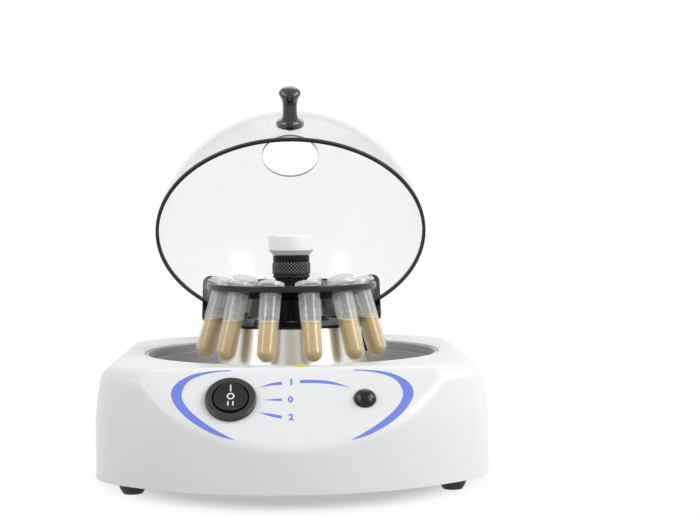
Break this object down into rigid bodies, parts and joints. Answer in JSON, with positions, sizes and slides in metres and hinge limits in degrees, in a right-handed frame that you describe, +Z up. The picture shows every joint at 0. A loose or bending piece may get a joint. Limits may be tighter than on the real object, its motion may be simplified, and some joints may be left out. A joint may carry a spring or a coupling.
{
  "type": "centrifuge vortex mixer",
  "caption": "Bench centrifuge with a vortex cup on its spindle, slanted sample tubes in a bowl rotor, a hinged clear dome lid, and a rocker switch and button on a sloping panel.",
  "frame": {"origin": "on the rotor axis, on the table under the feet", "axes": "+Z up along the rotor axis; the sloping control panel faces -Y and the lid hinges at +Y"},
  "size_m": [0.188, 0.235, 0.196],
  "materials": {
    "housing_white": "smooth moulded, light gloss",
    "base_painted": "satin powder coat",
    "foot_rubber": "matt",
    "screw_steel": "turned",
    "well_grey": "smooth moulded grey",
    "cover_steel": "polished sheet steel",
    "plate_black": "black, light gloss",
    "motor_metal": "zinc plated can",
    "washer_rubber": "matt",
    "screw_black": "black oxide, glossy head",
    "spindle_steel": "ground",
    "hub_black": "fluted moulding",
    "rotor_black": "black, glossy",
    "collar_black": "satin",
    "ring_black": "knurled, satin",
    "carrier_black": "satin",
    "cup_white": "smooth soft moulding",
    "bush_bronze": "sintered bush",
    "tube_clear": "frosted clear plastic",
    "cap_white": "moulded",
    "sample_liquid": "liquid",
    "lid_clear": "clear moulded plastic",
    "seal_black": "matt",
    "knob_black": "glossy",
    "bracket_black": "satin",
    "switch_black": "light gloss",
    "blade_brass": "plated blades",
    "rocker_black": "light gloss",
    "button_black": "glossy",
    "box_black": "moulded",
    "spring_steel": "drawn wire",
    "inlet_black": "moulded",
    "nut_steel": "plated",
    "board_green": "coated board",
    "standoff_brass": "turned",
    "parts_black": "moulded cases"
  },
  "bodies": {
    "body": {"housing": "housing_white", "base_plate": "base_painted", "feet": "foot_rubber", "base_screws": "screw_steel", "well_bowl": "well_grey", "motor_cover": "cover_steel", "cover_screws": "screw_steel", "top_plate": "plate_black", "motor": "motor_metal", "motor_washers": "washer_rubber", "motor_screws": "screw_black", "hinge_pin": "spindle_steel", "switch_body": "switch_black", "switch_blades": "blade_brass", "button_box": "box_black", "dc_inlet": "inlet_black", "inlet_nut": "nut_steel", "board_standoffs": "standoff_brass", "control_board": "board_green", "board_parts": "parts_black", "board_screws": "screw_steel"},
    "rotor_assembly": {"spindle": "spindle_steel", "rotor_hub": "hub_black", "rotor": "rotor_black", "collar": "collar_black", "lock_ring": "ring_black", "cup_carrier": "carrier_black", "tube_caps": "cap_white", "samples": "sample_liquid", "tube_01": "tube_clear", "tube_02": "tube_clear", "tube_03": "tube_clear", "tube_04": "tube_clear", "tube_05": "tube_clear", "tube_06": "tube_clear", "tube_07": "tube_clear", "tube_08": "tube_clear", "tube_09": "tube_clear", "tube_10": "tube_clear", "tube_11": "tube_clear", "tube_12": "tube_clear"},
    "cup": {"vortex_cup": "cup_white", "cup_bush": "bush_bronze"},
    "lid": {"lid_dome": "lid_clear", "lid_seal": "seal_black", "lid_knob": "knob_black", "knob_screw": "screw_steel", "hinge_bracket": "bracket_black", "bracket_screws": "screw_steel"},
    "rocker": {"switch_rocker": "rocker_black"},
    "button": {"button_cap": "button_black", "button_spring": "spring_steel"}
  },
  "joints": [
    {"name": "lid_hinge", "type": "hinge", "parent": "body", "child": "lid", "pos_m": [0, 0.092, 0.051], "axis": [-1, 0, 0], "range_deg": [-44, 51]},
    {"name": "rotor_spin", "type": "hinge", "parent": "body", "child": "rotor_assembly", "pos_m": [0, 0, 0.0756], "axis": [0, 0, 1], "continuous": true},
    {"name": "cup_spin", "type": "hinge", "parent": "rotor_assembly", "child": "cup", "pos_m": [0, 0.001, 0.1103], "axis": [0, 0, 1], "continuous": true},
    {"name": "rocker_tilt", "type": "hinge", "parent": "body", "child": "rocker", "pos_m": [-0.0281, -0.09821, 0.04646], "axis": [1, 0, 0], "range_deg": [-10, 10]},
    {"name": "button_press", "type": "slide", "parent": "body", "child": "button", "axis": [0, 0.7396, -0.673], "range_m": [0, 0.002], "stiffness_N_per_m": 250, "deforming": ["button_spring"]}
  ]
}
